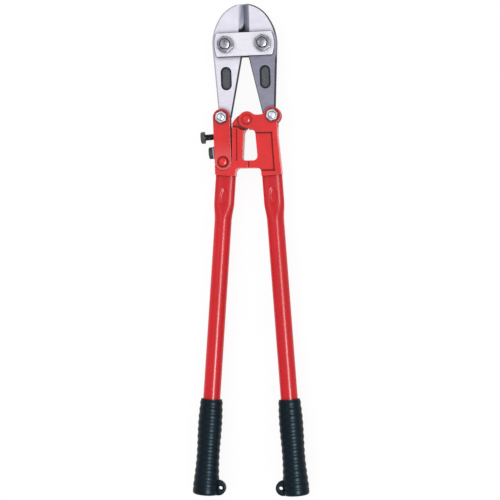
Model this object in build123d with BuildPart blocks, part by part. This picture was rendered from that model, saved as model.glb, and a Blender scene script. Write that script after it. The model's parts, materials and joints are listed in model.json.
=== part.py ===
# Bolt cutters, 24 in (600 mm) class, lying flat with the jaws towards +Y.
# Every linkage pivot stands along Z. The mid-plane of the tool is at Z = mid_z, the
# bench is Z = 0, and the handles are symmetric about X = 0. All sizes are in mm.
import os
from math import atan2, cos, degrees, hypot, pi, radians, sin, sqrt, tan

from build123d import *

os.makedirs("parts", exist_ok=True)

# ---- linkage ----
tail_drop = 89.6            # toggle bolts below the pivot bolts
pivot_spacing = 46.2        # between the two pivot bolts
toggle_spacing = 63.5       # between the two toggle bolts
handle_pivot_drop = 4.0     # handle pivot below the toggle bolts
head_tilt = 1.7             # degrees that the head leans, as the adjuster leaves it
handle_pivot_x = -1.4       # handle pivot beside the bisector of the handles
link_pivot = (-29.9, -52.3)  # link rivet, from the handle pivot

# ---- layers along Z ----
blade_thickness = 11.4
plate_thickness = 4.5       # straps, link plates and casting ears
layer_gap = 0.15            # running gap between sliding flat faces
body_gap = 0.3              # gap between other faces of different bodies
pin_gap = 0.05              # radial running fit of a pin in its hole

# ---- jaws ----
jaw_reach = 50.5            # jaw tips above the pivot bolts
tip_width = 6.0             # flat tip of each jaw
blade_half_width = 40.3     # outer edge from the head's centre line, at the pivot bolts
blade_crown = (0.506, 0.873)  # outer edge's points, as shares of blade_half_width and
blade_shoulder = (0.8, 0.6)   # jaw_reach, from the tip down
blade_flank = (0.95, 0.32)
tail_half_width = 34.9      # the same at the toggle bolts
gap_angle = 11.9            # degrees that each inner edge leans from the centre line
gap_top = 6.0               # where the inner edges meet, above the pivot bolts
bevel_width = 6.8
edge_gap = 0.1              # closed cutting edges, each side of the centre line
blade_chamfer = 1.7
tail_eye_radius = 10.2
pocket_length = 28.7
pocket_width = 13.0
pocket_depth = 1.8
pocket_place = (24.3, -41.4)  # from the centre line and the pivot bolts
relief_floor = 1.0          # the cutting edge's relief stops this far above the mid-plane
relief_top = 28.0
relief_side = 17.3

# ---- straps ----
strap_overhang = 13.9       # beyond the pivot bolts
strap_width = 29.3
strap_end_rise = 2.6

# ---- fasteners ----
pivot_bolt_radius = 6.0     # M12
pivot_flats = 18.0
pivot_nut_height = 10.0
pivot_bolt_proud = 1.6
toggle_bolt_radius = 4.0    # M8
toggle_flats = 13.0
toggle_head = 5.3
toggle_nut_height = 6.2
toggle_bolt_proud = 0.9
rivet_radius = 3.5
rivet_head_radius = 5.6
rivet_head_height = 2.7
rivet_head_edge = 0.3

# ---- link, adjuster and lock ----
link_radius = 10.6
rivet_ring_radius = 6.9     # shallow seat around the link rivet
rivet_ring_depth = 0.5
trunnion_radius = 3.0
block_top = 9.0             # adjuster block, below the handle pivot
block_bottom = 32.0
block_left = -41.0
block_right = -19.7
screw_tilt = 4.5            # degrees that both screws rise towards the casting
screw_radius = 4.0          # M8
screw_flats = 13.0
screw_head = 5.3
adjuster_drop = 19.6        # adjusting screw below the handle pivot, at the link's axis
adjuster_head_x = -53.2     # under its head
lock_drop = 39.5            # lock bolt below the handle pivot, at the link's axis
lock_engagement = 15.0
washer_radius = 8.0
washer_thickness = 1.6

# ---- castings, from the handle pivot ----
ear_radius = 10.3
fork_radius = 10.6
tongue_radius = 9.6
tongue_play = 4.9           # room behind the tongue for the open pivot's travel
slot_closing = 3.7          # pivot slot's centre line, towards the flange
slot_opening = 0.5          # the same, away from the flange
slot_room = 1.35            # room all round the rivet and the ear along the pivot slot
slot_angle = 25.0
flange_left = -18.8
flange_width = 5.4
flange_top = -9.7
shoulder_start = -4.2       # where the shoulder rises from the flange's face
shoulder_crown = (-11.5, 4.6)  # the middle of the shoulder's curve
web_end = -2.5
lug_top = -32.9
lug_left = -40.4
lug_bottom = -54.0
stop_x = 1.1
window_top = -11.7
window_bottom = -50.7
window_corners = ((-3.8, 9.8), (-6.0, 13.2))  # left and right, at the top and the bottom
window_radii = (6.5, 6.5, 5.5, 3.0)
bridge_bottom = -60.0
arch_radius = 5.4
right_edge = 37.9
right_edge_top = -4.6
right_edge_bottom = -19.4
arm_low = (14.2, 5.9)       # lowest point of the right casting's upper edge
fork_throat = 14.2          # below the right toggle bolt
throat_flare = 2.0          # wider above the handle pivot, where the blade's tail swings
panel_top = -15.7
panel_right = (31.4, 34.6)  # at the top and the bottom
panel_margin = 5.3          # from the panel's bottom to the tube
panel_depth = 1.4
groove_width = 1.1          # groove beside the flange
groove_depth = 1.1

# ---- handles ----
handle_tilt = 4.04          # degrees that each handle leans out
tube_start = -69.2          # from the handle pivot
tube_start_half = 28.9      # tube axis from the bisector, where the tube starts
tang_length = 35.5
tang_gap = 0.15
tube_radius = 10.65         # 1/2 in pipe
tube_wall = 1.9
flat_width = 25.1           # flattened end over the tang
flat_thickness = 15.0
flat_length = 37.0
neck_length = 17.0          # from flattened to round
dimple_length = 22.0
dimple_width = 9.3
dimple_depth = 1.0
dimple_place = 26.0
grip_place = 279.0          # grip's mouth, along the tube from its start
grip_length = 119.5
grip_end_radius = 16.3
grip_start_radius = 13.0
grip_end_wall = 6.0
grip_growth = 2.5           # the sleeve's radius grows by this towards its end
grip_wave = 0.8             # and swells and narrows by this on the way
grip_wave_count = 1.2
rib_count = 13
rib_height = 0.7
rib_crest = 0.36            # crest and valley of each rib, as shares of the pitch
rib_valley = 0.72
collar_length = 9.0         # plain collar at the closed end
collar_slope = 1.5
collar_corner = 3.5
collar_dome = 0.4
ear_reach = 15.6            # hanging ear's centre from the grip's axis
ear_rise = 10.0             # hanging ear's centre from the grip's end
hanging_ear_radius = 9.6
hanging_hole_reach = 18.7
hanging_hole_radius = 2.35
hanging_ear_thickness = 8.0

# ---- worked out ----
blade_half = blade_thickness / 2
plate_in = blade_half + layer_gap
plate_out = plate_in + plate_thickness
mid_z = grip_end_radius
tube_end = grip_place + grip_length - grip_end_wall
total_reach = tail_drop + handle_pivot_drop + jaw_reach
tilt = radians(handle_tilt)
handle_drop = -tube_start + (grip_place + grip_length) * cos(tilt)
handle_pivot_y = (handle_drop - total_reach) / 2

lean = radians(head_tilt)
head_rise = tail_drop + handle_pivot_drop
pivot_plane = Plane((handle_pivot_x, handle_pivot_y, mid_z))
head_plane = Plane(
    (handle_pivot_x - head_rise * sin(lean), handle_pivot_y + head_rise * cos(lean), mid_z),
    x_dir=(cos(lean), sin(lean), 0),
)


def save(piece, name):
    """Labels a finished piece and writes it under its node's name."""
    piece.part.label = name
    export_step(piece.part, f"parts/{name}.step")


def from_pivot(x, y):
    """A point of the head's own frame, as seen from the handle pivot."""
    point = pivot_plane.to_local_coords(head_plane.from_local_coords(Vector(x, y, 0)))
    return (point.X, point.Y)


def at(plane, x, y, z=0.0, turn=0.0):
    """The plane moved to a point of its own frame and turned about its normal."""
    angle = radians(turn)
    x_dir = plane.x_dir * cos(angle) + plane.y_dir * sin(angle)
    return Plane(plane.from_local_coords(Vector(x, y, z)), x_dir=x_dir, z_dir=plane.z_dir)


def section(plane):
    """The plane's radial section: local X stays, local Y runs along its normal."""
    return Plane(plane.origin, x_dir=plane.x_dir, z_dir=-plane.y_dir)


left_toggle = from_pivot(-toggle_spacing / 2, -tail_drop)
right_toggle = from_pivot(toggle_spacing / 2, -tail_drop)


# ---------------------------------------------------------------- fasteners

def hex_bolt(name, plane, radius, flats, head, length, turn=0.0):
    """A hex bolt whose head stands under the plane and whose shank runs up from it."""
    face_radius = 0.475 * flats
    with BuildPart() as bolt:
        with BuildSketch(plane.offset(-head)):
            RegularPolygon(flats / 2, 6, major_radius=False, rotation=turn)
        extrude(amount=head)
        with BuildSketch(section(plane)):
            with BuildLine():
                Polyline(
                    (0, -head), (face_radius, -head), (face_radius + head * sqrt(3), 0), (0, 0),
                    close=True,
                )
            make_face()
        revolve(axis=Axis(plane.origin, plane.z_dir), mode=Mode.INTERSECT)
        with BuildSketch(plane):
            Circle(radius)
        extrude(amount=length)
        end = bolt.edges().filter_by(GeomType.CIRCLE).sort_by(Axis(plane.origin, plane.z_dir))[-1]
        chamfer(end, 0.15 * radius)
    save(bolt, name)


def hex_nut(name, plane, radius, flats, height, turn=0.0):
    """A hex nut that stands on the plane, chamfered at both ends."""
    face_radius = 0.475 * flats
    with BuildPart() as nut:
        with BuildSketch(plane):
            RegularPolygon(flats / 2, 6, major_radius=False, rotation=turn)
        extrude(amount=height)
        with BuildSketch(section(plane)):
            with BuildLine():
                Polyline(
                    (0, 0), (face_radius, 0), (face_radius + height * sqrt(3) / 2, height / 2),
                    (face_radius, height), (0, height), close=True,
                )
            make_face()
        revolve(axis=Axis(plane.origin, plane.z_dir), mode=Mode.INTERSECT)
        with BuildSketch(plane):
            Circle(radius)
        extrude(amount=height, mode=Mode.SUBTRACT)
    save(nut, name)


def rivet(name, plane):
    """A rivet through both plates, domed at both ends, centred on the plane."""
    with BuildPart() as pin:
        with BuildSketch(section(plane)):
            with BuildLine():
                seat = plate_out + pin_gap
                crown = seat + rivet_head_height
                edge = seat + rivet_head_edge
                Line((0, crown), (0, -crown))
                TangentArc((0, -crown), (rivet_head_radius, -edge), tangent=(1, 0))
                Polyline(
                    (rivet_head_radius, -edge), (rivet_head_radius, -seat),
                    (rivet_radius, -seat), (rivet_radius, seat),
                    (rivet_head_radius, seat), (rivet_head_radius, edge),
                )
                TangentArc((0, crown), (rivet_head_radius, edge), tangent=(1, 0))
            make_face()
        revolve(axis=Axis(plane.origin, plane.z_dir))
    save(pin, name)


for side, name, turn in ((-1, "left", 8.0), (1, "right", 0.0)):
    pivot = at(head_plane, side * pivot_spacing / 2, 0)
    toggle = at(head_plane, side * toggle_spacing / 2, -tail_drop)
    hex_bolt(
        f"{name}_pivot_bolt", pivot.offset(-plate_out), pivot_bolt_radius, pivot_flats,
        mid_z - plate_out, 2 * plate_out + pivot_nut_height + pivot_bolt_proud,
    )
    hex_nut(
        f"{name}_pivot_nut", pivot.offset(plate_out), pivot_bolt_radius, pivot_flats,
        pivot_nut_height, 30 + turn,
    )
    hex_bolt(
        f"{name}_toggle_bolt", toggle.offset(-plate_out), toggle_bolt_radius, toggle_flats,
        toggle_head, 2 * plate_out + toggle_nut_height + toggle_bolt_proud,
    )
    hex_nut(
        f"{name}_toggle_nut", toggle.offset(plate_out), toggle_bolt_radius, toggle_flats,
        toggle_nut_height, 15 + turn,
    )

rivet("handle_pivot_rivet", pivot_plane)
link_plane = at(pivot_plane, *link_pivot)
rivet("link_rivet", link_plane)


# ---------------------------------------------------------------- jaws and straps

def blade(name, side):
    """One jaw blade. Its relief is at the front on the left blade, behind on the right."""
    inner_at_tail = edge_gap + (tail_drop + gap_top) * tan(radians(gap_angle))
    with BuildPart() as jaw:
        with BuildSketch(head_plane.offset(-blade_half)):
            with BuildLine():
                Polyline((side * edge_gap, gap_top), (side * edge_gap, jaw_reach),
                         (side * tip_width, jaw_reach))
                crown, shoulder, flank = [
                    (side * across * blade_half_width, up * jaw_reach)
                    for across, up in (blade_crown, blade_shoulder, blade_flank)]
                ThreePointArc((side * tip_width, jaw_reach), crown, shoulder)
                ThreePointArc(shoulder, flank, (side * blade_half_width, 0))
                Polyline((side * blade_half_width, 0), (side * tail_half_width, -tail_drop),
                         (side * inner_at_tail, -tail_drop), (side * edge_gap, gap_top))
            make_face()
            with Locations((side * toggle_spacing / 2, -tail_drop)):
                Circle(tail_eye_radius)
        extrude(amount=blade_thickness)
        rim = [
            edge for face in (jaw.faces().sort_by(Axis.Z)[0], jaw.faces().sort_by(Axis.Z)[-1])
            for edge in face.outer_wire().edges()
            if side * head_plane.to_local_coords(edge.center()).X > 0.4 * blade_half_width
            and head_plane.to_local_coords(edge.center()).Y > -0.6 * tail_drop
        ]
        chamfer(rim, blade_chamfer)
        # Both faces fall to the cutting edge at mid-thickness.
        with BuildSketch(Plane(head_plane.from_local_coords(Vector(0, gap_top, 0)),
                               x_dir=head_plane.x_dir, z_dir=head_plane.y_dir)):
            bevel_end = side * (edge_gap + bevel_width)
            with BuildLine():
                Polyline((side * edge_gap, 0), (bevel_end, blade_half), (-bevel_end, blade_half),
                         (-bevel_end, -blade_half), (bevel_end, -blade_half), close=True)
            make_face()
        extrude(amount=jaw_reach, mode=Mode.SUBTRACT)
        # Relief below the cutting edge, cut from one face to a floor near the mid-plane.
        with BuildSketch(head_plane.offset(-side * relief_floor)):
            with BuildLine():
                TangentArc((0, relief_top), (bevel_end, relief_side), tangent=(0, -1))
                Polyline((bevel_end, relief_side), (bevel_end, gap_top + bevel_width),
                         (0, gap_top), (0, relief_top))
            make_face()
        extrude(amount=-side * blade_half, mode=Mode.SUBTRACT)
        with BuildSketch(at(head_plane, side * pocket_place[0], pocket_place[1], blade_half)):
            SlotOverall(pocket_length, pocket_width, rotation=90)
        extrude(amount=-pocket_depth, mode=Mode.SUBTRACT)
        with BuildSketch(head_plane):
            with Locations((side * pivot_spacing / 2, 0)):
                Circle(pivot_bolt_radius + pin_gap)
            with Locations((side * toggle_spacing / 2, -tail_drop)):
                Circle(toggle_bolt_radius + pin_gap)
        extrude(amount=blade_thickness, both=True, mode=Mode.SUBTRACT)
    save(jaw, name)


def strap(name, face):
    """One of the two plates that hold the jaws: face is 1 in front, -1 behind."""
    half = pivot_spacing / 2 + strap_overhang
    with BuildPart() as plate:
        with BuildSketch(head_plane.offset(face * plate_in)):
            with BuildLine():
                for side in (-1, 1):
                    ThreePointArc(
                        (side * (half - strap_end_rise), -strap_width / 2), (side * half, 0),
                        (side * (half - strap_end_rise), strap_width / 2),
                    )
                for edge in (-1, 1):
                    Line((strap_end_rise - half, edge * strap_width / 2),
                         (half - strap_end_rise, edge * strap_width / 2))
            make_face()
            with Locations((-pivot_spacing / 2, 0), (pivot_spacing / 2, 0)):
                Circle(pivot_bolt_radius, mode=Mode.SUBTRACT)
        extrude(amount=face * plate_thickness)
    save(plate, name)


blade("left_blade", -1)
blade("right_blade", 1)
strap("front_strap", 1)
strap("rear_strap", -1)


# ---------------------------------------------------------------- link and adjuster

def link_axis(drop):
    """The point of the link's axis that lies a drop below the handle pivot."""
    share = (-drop - left_toggle[1]) / (link_pivot[1] - left_toggle[1])
    return (left_toggle[0] + share * (link_pivot[0] - left_toggle[0]), -drop)


link_length = hypot(link_pivot[0] - left_toggle[0], link_pivot[1] - left_toggle[1])
link_turn = degrees(atan2(left_toggle[1] - link_pivot[1], left_toggle[0] - link_pivot[0]))
link_middle = ((link_pivot[0] + left_toggle[0]) / 2, (link_pivot[1] + left_toggle[1]) / 2)
trunnion = link_axis(adjuster_drop)
screw_lean = radians(screw_tilt)


def screw_plane(through, x):
    """Stands across the screw that crosses a point of the link's axis, at the given X."""
    origin = Vector(x, through[1] + (x - through[0]) * tan(screw_lean), 0)
    return Plane(pivot_plane.from_local_coords(origin), x_dir=(0, 0, 1),
                 z_dir=(cos(screw_lean), sin(screw_lean), 0))


def link_plate(name, face):
    """One link plate: face is 1 in front, -1 behind. A ring is sunk around the rivet."""
    with BuildPart() as plate:
        with BuildSketch(pivot_plane.offset(face * plate_in)):
            with Locations(Location((*link_middle, 0), (0, 0, link_turn))):
                SlotCenterToCenter(link_length, 2 * link_radius)
            with Locations(left_toggle):
                Circle(toggle_bolt_radius, mode=Mode.SUBTRACT)
            with Locations(link_pivot):
                Circle(rivet_radius + pin_gap, mode=Mode.SUBTRACT)
            with Locations(trunnion):
                Circle(trunnion_radius, mode=Mode.SUBTRACT)
        extrude(amount=face * plate_thickness)
        with BuildSketch(pivot_plane.offset(face * plate_out)):
            with Locations(link_pivot):
                Circle(rivet_ring_radius)
                Circle(rivet_head_radius, mode=Mode.SUBTRACT)
        extrude(amount=-face * rivet_ring_depth, mode=Mode.SUBTRACT)
    save(plate, name)


link_plate("front_link_plate", 1)
link_plate("rear_link_plate", -1)

with BuildPart() as adjuster_block:
    with BuildSketch(pivot_plane.offset(-blade_half)):
        with BuildLine():
            Polyline((block_left, -block_top), (block_right, -block_top),
                     (block_right, -block_bottom), (block_left, -block_bottom), close=True)
        make_face()
    extrude(amount=blade_thickness)
    with BuildSketch(pivot_plane.offset(-plate_out)):
        with Locations(trunnion):
            Circle(trunnion_radius)
    extrude(amount=2 * plate_out)
    with BuildSketch(screw_plane(trunnion, trunnion[0])):
        Circle(screw_radius + pin_gap)
    extrude(amount=block_right - block_left, both=True, mode=Mode.SUBTRACT)
save(adjuster_block, "adjuster_block")

hex_bolt(
    "adjusting_screw", screw_plane(trunnion, adjuster_head_x), screw_radius, screw_flats,
    screw_head, (flange_left - body_gap - adjuster_head_x) / cos(screw_lean) - screw_radius
    * tan(screw_lean),
)

# The lock bolt pulls its washer against the left edges of both link plates.
lock_place = link_axis(lock_drop)
washer_seat = lock_place[0] - link_radius - 2 * body_gap
lock_head_x = washer_seat - washer_thickness
hex_bolt("lock_bolt", screw_plane(lock_place, lock_head_x), screw_radius, screw_flats,
         screw_head, washer_thickness + lock_engagement)
with BuildPart() as lock_washer:
    with BuildSketch(screw_plane(lock_place, lock_head_x)):
        Circle(washer_radius)
        Circle(screw_radius, mode=Mode.SUBTRACT)
    extrude(amount=washer_thickness)
save(lock_washer, "lock_washer")


# ---------------------------------------------------------------- handles' own frames

def tube_plane(side):
    """A handle's frame: X across the tube, Y down along it, from the tube's start."""
    origin = pivot_plane.from_local_coords(
        Vector(side * tube_start_half - handle_pivot_x, tube_start, 0))
    return Plane(origin, x_dir=(cos(tilt), side * sin(tilt), 0), z_dir=(0, 0, -1))


def across_tube(side, along):
    """Stands across a tube: X across, Y up."""
    frame = tube_plane(side)
    return Plane(frame.from_local_coords(Vector(0, along, 0)), x_dir=frame.x_dir,
                 z_dir=frame.y_dir)


def tube_point(side, across, along):
    """A point of a handle's frame, as seen from the handle pivot."""
    point = pivot_plane.to_local_coords(
        tube_plane(side).from_local_coords(Vector(across, along, 0)))
    return (point.X, point.Y)


def tube_outline(width, thickness, inset=0.0, count=24):
    """Points of a tube's section, round where width and thickness match, else flattened."""
    power = 2 / (2 + 1.5 * (width / thickness - 1))
    half_width, half_thickness = width / 2 - inset, thickness / 2 - inset
    points = []
    for step in range(count):
        angle = 2 * pi * step / count
        x, y = cos(angle), sin(angle)
        points.append((
            half_width * abs(x) ** power * (1 if x > 0 else -1),
            half_thickness * abs(y) ** power * (1 if y > 0 else -1),
        ))
    return points


# ---------------------------------------------------------------- castings

def tang(side):
    """The tang that a flattened tube is crimped onto, with a hollow for each dimple."""
    inner_half = flat_thickness / 2 - tube_wall
    room = tube_wall + tang_gap
    with BuildPart() as bar:
        with BuildSketch(across_tube(side, -panel_margin)):
            with BuildLine():
                Spline(*tube_outline(flat_width, flat_thickness, room), periodic=True)
            make_face()
        extrude(amount=panel_margin + tang_length)
        for face in (-1, 1):
            floor = face * (inner_half - dimple_depth - tang_gap)
            with BuildSketch(tube_plane(side).offset(floor)):
                with Locations((0, dimple_place)):
                    Ellipse(dimple_width / 2 + room, dimple_length / 2 + room)
            extrude(amount=face * tube_wall, mode=Mode.SUBTRACT)
    return bar.part


left_tang = tang(-1)
right_tang = tang(1)

# The window that the two closed castings enclose.
(top_left, top_right), (bottom_left, bottom_right) = window_corners
with BuildPart() as window:
    with BuildSketch(pivot_plane):
        with BuildLine():
            FilletPolyline(
                (top_left, window_top), (top_right, window_top), (bottom_right, window_bottom),
                (bottom_left, window_bottom), radius=window_radii, close=True,
            )
        make_face()
    extrude(amount=plate_out, both=True)

with BuildPart() as left_head_casting:
    flange_right = flange_left + flange_width
    groove_right = flange_right + groove_width
    slot_length = slot_opening + slot_closing
    slot_shift = (slot_opening - slot_closing) / 2
    pivot_slot = Location((slot_shift * cos(radians(slot_angle)),
                           slot_shift * sin(radians(slot_angle)), 0), (0, 0, slot_angle))
    stop = stop_x - body_gap / 2
    arch = tube_point(-1, flat_width / 2, -panel_margin)
    with BuildSketch(pivot_plane.offset(-plate_out)):
        with BuildLine():
            Polyline(
                tube_point(-1, flat_width / 2, 0), tube_point(-1, -flat_width / 2, 0),
                (lug_left, lug_bottom), (flange_left, lug_bottom), (flange_left, flange_top),
                (groove_right, flange_top), (groove_right, 0), (web_end, 0),
                (web_end, window_bottom / 2), (stop, window_bottom / 2), (stop, bridge_bottom),
                (arch[0] + arch_radius, bridge_bottom),
            )
            TangentArc((arch[0] + arch_radius, bridge_bottom), arch, tangent=(-1, 0))
            Line(arch, tube_point(-1, flat_width / 2, 0))
        make_face()
        with Locations(Location((*link_middle, 0), (0, 0, link_turn))):
            SlotCenterToCenter(link_length, 2 * (link_radius + body_gap), mode=Mode.SUBTRACT)
        with Locations(pivot_slot):
            SlotCenterToCenter(slot_length, 2 * (ear_radius + slot_room), mode=Mode.SUBTRACT)
    extrude(amount=2 * plate_out)
    # The tongue between the right casting's ears, and the lug between the link plates.
    with BuildSketch(pivot_plane.offset(-blade_half)):
        with BuildLine():
            ThreePointArc((flange_left, shoulder_start), shoulder_crown, (0, tongue_radius))
            Polyline((0, tongue_radius), (0, window_bottom / 2),
                     (flange_left, window_bottom / 2), (flange_left, shoulder_start))
        make_face()
        Circle(tongue_radius)
        with BuildLine():
            Polyline((lug_left, lug_top), (flange_left, lug_top), (flange_left, lug_bottom),
                     (lug_left, lug_bottom), close=True)
        make_face()
        with Locations(link_pivot):
            Circle(link_radius)
    extrude(amount=blade_thickness)
    add(left_tang)
    add(window.part, mode=Mode.SUBTRACT)
    # A slot, not a round hole: it gives the pivot the room that the linkage needs.
    with BuildSketch(pivot_plane):
        with Locations(pivot_slot):
            SlotCenterToCenter(slot_length, 2 * (rivet_radius + slot_room))
        with Locations(link_pivot):
            Circle(rivet_radius)
    extrude(amount=plate_out, both=True, mode=Mode.SUBTRACT)
    with BuildSketch(screw_plane(lock_place, washer_seat - washer_thickness)):
        Circle(screw_radius + pin_gap)
    extrude(amount=lock_engagement + 2 * washer_thickness, mode=Mode.SUBTRACT)
    for face in (-1, 1):
        with BuildSketch(pivot_plane.offset(face * plate_out)):
            with BuildLine():
                Polyline((flange_right, flange_top), (groove_right, flange_top),
                         (groove_right, window_bottom), (flange_right, window_bottom), close=True)
            make_face()
        extrude(amount=-face * groove_depth, mode=Mode.SUBTRACT)
save(left_head_casting, "left_head_casting")

with BuildPart() as right_head_casting:
    stop = stop_x + body_gap / 2
    arch = tube_point(1, -flat_width / 2, -panel_margin)
    with BuildSketch(pivot_plane.offset(-plate_out)):
        with BuildLine():
            ThreePointArc((0, ear_radius), arm_low,
                          (right_toggle[0], right_toggle[1] + fork_radius))
            Polyline(
                (right_toggle[0], right_toggle[1] + fork_radius), (right_toggle[0], 0),
                (right_edge, right_edge_top), (right_edge, right_edge_bottom),
                tube_point(1, flat_width / 2, -panel_margin), tube_point(1, flat_width / 2, 0),
                tube_point(1, -flat_width / 2, 0), arch,
            )
            TangentArc((arch[0] - arch_radius, bridge_bottom), arch, tangent=(1, 0))
            Polyline((arch[0] - arch_radius, bridge_bottom), (stop, bridge_bottom), (stop, 0),
                     (0, 0), (0, ear_radius))
        make_face()
        Circle(ear_radius)
        with Locations(right_toggle):
            Circle(fork_radius)
    extrude(amount=2 * plate_out)
    # Slots for the tongue and for the blade's tail leave two ears at each pin.
    tongue_room = tongue_radius + tongue_play + body_gap
    throat_left = right_toggle[0] - fork_radius - body_gap
    throat_floor = right_toggle[1] - fork_throat
    with BuildSketch(pivot_plane.offset(-plate_in)):
        Circle(tongue_room)
        with BuildLine():
            Polyline(
                (throat_left, throat_floor), (2 * right_edge, throat_floor),
                (2 * right_edge, 2 * fork_radius), (throat_left - throat_flare, 2 * fork_radius),
                (throat_left - throat_flare, 0), (throat_left, 0), close=True,
            )
        make_face()
    extrude(amount=2 * plate_in, mode=Mode.SUBTRACT)
    add(right_tang)
    add(window.part, mode=Mode.SUBTRACT)
    with BuildSketch(pivot_plane):
        Circle(rivet_radius)
        with Locations(right_toggle):
            Circle(toggle_bolt_radius)
    extrude(amount=plate_out, both=True, mode=Mode.SUBTRACT)
    for face in (-1, 1):
        with BuildSketch(pivot_plane.offset(face * plate_out)):
            with BuildLine():
                Polyline((stop_x, panel_top), (panel_right[0], panel_top),
                         (panel_right[1], tube_point(1, 0, -panel_margin)[1]),
                         (stop_x, tube_point(1, 0, -panel_margin)[1]), close=True)
            make_face()
        extrude(amount=-face * panel_depth, mode=Mode.SUBTRACT)
save(right_head_casting, "right_head_casting")


# ---------------------------------------------------------------- tubes and grips

def tube(name, side):
    """A pipe handle, flattened over its casting's tang and crimped there."""
    neck_end = flat_length + neck_length
    inner_half = flat_thickness / 2 - tube_wall
    with BuildPart() as pipe:
        for wall, mode in ((0, Mode.ADD), (tube_wall, Mode.SUBTRACT)):
            flat = tube_outline(flat_width, flat_thickness, wall)
            bore = tube_outline(2 * tube_radius, 2 * tube_radius, wall)
            with BuildSketch(across_tube(side, 0)):
                with BuildLine():
                    Spline(*flat, periodic=True)
                make_face()
            extrude(amount=flat_length, mode=mode)
            with BuildSketch(across_tube(side, flat_length)):
                with BuildLine():
                    Spline(*flat, periodic=True)
                make_face()
            with BuildSketch(across_tube(side, neck_end)):
                with BuildLine():
                    Spline(*bore, periodic=True)
                make_face()
            loft(mode=mode)
            with BuildSketch(across_tube(side, neck_end)):
                with BuildLine():
                    Spline(*bore, periodic=True)
                make_face()
            extrude(amount=tube_end - neck_end, mode=mode)
        for face in (-1, 1):
            with BuildSketch(tube_plane(side).offset(face * (inner_half - dimple_depth))):
                with Locations((0, dimple_place)):
                    Ellipse(dimple_width / 2 + tube_wall, dimple_length / 2 + tube_wall)
            extrude(amount=face * (dimple_depth + tube_wall / 2))
            with BuildSketch(tube_plane(side).offset(face * (flat_thickness / 2 + tube_wall))):
                with Locations((0, dimple_place)):
                    Ellipse(dimple_width / 2, dimple_length / 2)
            extrude(amount=-face * (dimple_depth + tube_wall), mode=Mode.SUBTRACT)
    save(pipe, name)


def swell(share):
    """Radius of the grip's sleeve at a share of its length."""
    return grip_start_radius + grip_growth * share + grip_wave * sin(
        2 * pi * grip_wave_count * share)


def grip(name, side):
    """A ribbed sleeve with a flared, closed end and a hanging ear on its inner side."""
    frame = tube_plane(side)
    mouth = grip_place
    end = grip_place + grip_length
    ribbed = grip_length - collar_length
    pitch = ribbed / rib_count
    bore_radius = tube_radius + pin_gap
    with BuildPart() as sleeve:
        with BuildSketch(frame):
            with BuildLine():
                Line((bore_radius, mouth), (swell(0), mouth))
                for rib in range(rib_count):
                    low, high = mouth + rib * pitch, mouth + (rib + 1) * pitch
                    crest, valley = low + rib_crest * pitch, low + rib_valley * pitch
                    first, middle, last = [
                        swell((place - mouth) / grip_length) for place in (low, crest, high)]
                    dip = (2 * middle + last) / 3
                    ThreePointArc((first, low), (middle + rib_height, crest), (dip, valley))
                    ThreePointArc((dip, valley), (dip + rib_height / 3, (valley + high) / 2),
                                  (last, high))
                corner = (grip_end_radius - collar_corner, end - collar_dome)
                Polyline((swell(ribbed / grip_length), mouth + ribbed),
                         (grip_end_radius, mouth + ribbed + collar_slope),
                         (grip_end_radius, end - collar_corner))
                TangentArc((grip_end_radius, end - collar_corner), corner, tangent=(0, 1))
                Polyline(corner, (0, end), (0, tube_end), (bore_radius, tube_end),
                         (bore_radius, mouth))
            make_face()
        revolve(axis=Axis(frame.origin, frame.y_dir))
        with BuildSketch(frame):
            with Locations((-side * ear_reach, end - ear_rise)):
                Circle(hanging_ear_radius)
            with BuildLine():
                Polyline((-side * ear_reach, end - ear_rise - hanging_ear_radius),
                         (-side * ear_reach, end - ear_rise + hanging_ear_radius),
                         (-side * tube_radius, end - ear_rise + hanging_ear_radius),
                         (-side * tube_radius, end - ear_rise - hanging_ear_radius), close=True)
            make_face()
        extrude(amount=hanging_ear_thickness / 2, both=True)
        with BuildSketch(across_tube(side, mouth)):
            Circle(bore_radius)
        extrude(amount=tube_end - mouth, mode=Mode.SUBTRACT)
        with BuildSketch(frame):
            with Locations((-side * hanging_hole_reach, end - ear_rise)):
                Circle(hanging_hole_radius)
        extrude(amount=hanging_ear_thickness, both=True, mode=Mode.SUBTRACT)
    save(sleeve, name)


tube("left_tube", -1)
tube("right_tube", 1)
grip("left_grip", -1)
grip("right_grip", 1)
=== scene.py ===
import json
from contextlib import contextmanager
from math import atan2, copysign, cos, hypot, pi, radians, sin, tan

import bmesh
import bpy
from mathutils import Matrix, Vector


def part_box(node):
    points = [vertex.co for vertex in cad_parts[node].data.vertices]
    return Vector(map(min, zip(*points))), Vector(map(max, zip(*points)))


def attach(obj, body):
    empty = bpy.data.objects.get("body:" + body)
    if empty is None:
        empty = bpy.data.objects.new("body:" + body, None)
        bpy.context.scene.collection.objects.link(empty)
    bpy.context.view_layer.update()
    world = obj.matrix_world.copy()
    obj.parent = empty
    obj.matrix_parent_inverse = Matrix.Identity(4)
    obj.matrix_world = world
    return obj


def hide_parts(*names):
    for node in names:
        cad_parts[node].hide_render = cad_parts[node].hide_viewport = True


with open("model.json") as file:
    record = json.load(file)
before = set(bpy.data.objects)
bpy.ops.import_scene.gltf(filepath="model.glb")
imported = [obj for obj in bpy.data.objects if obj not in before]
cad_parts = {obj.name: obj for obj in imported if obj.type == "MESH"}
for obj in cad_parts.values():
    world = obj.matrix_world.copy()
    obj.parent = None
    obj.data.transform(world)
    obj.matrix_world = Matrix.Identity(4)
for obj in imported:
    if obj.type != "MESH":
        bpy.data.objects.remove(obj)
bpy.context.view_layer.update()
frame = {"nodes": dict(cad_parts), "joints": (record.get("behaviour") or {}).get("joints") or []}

# ---------------------------------------------------------------- bench and light
# The cutters lie on a white bench in a white room, which lights them evenly. A broad
# softbox stands on their left, and two narrow ones on their right show in gloss alone.
mm = 0.001
mid_z = frame["joints"][0]["pos_m"][2]
bench_size = 14.0
bench_shade = 0.9
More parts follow.
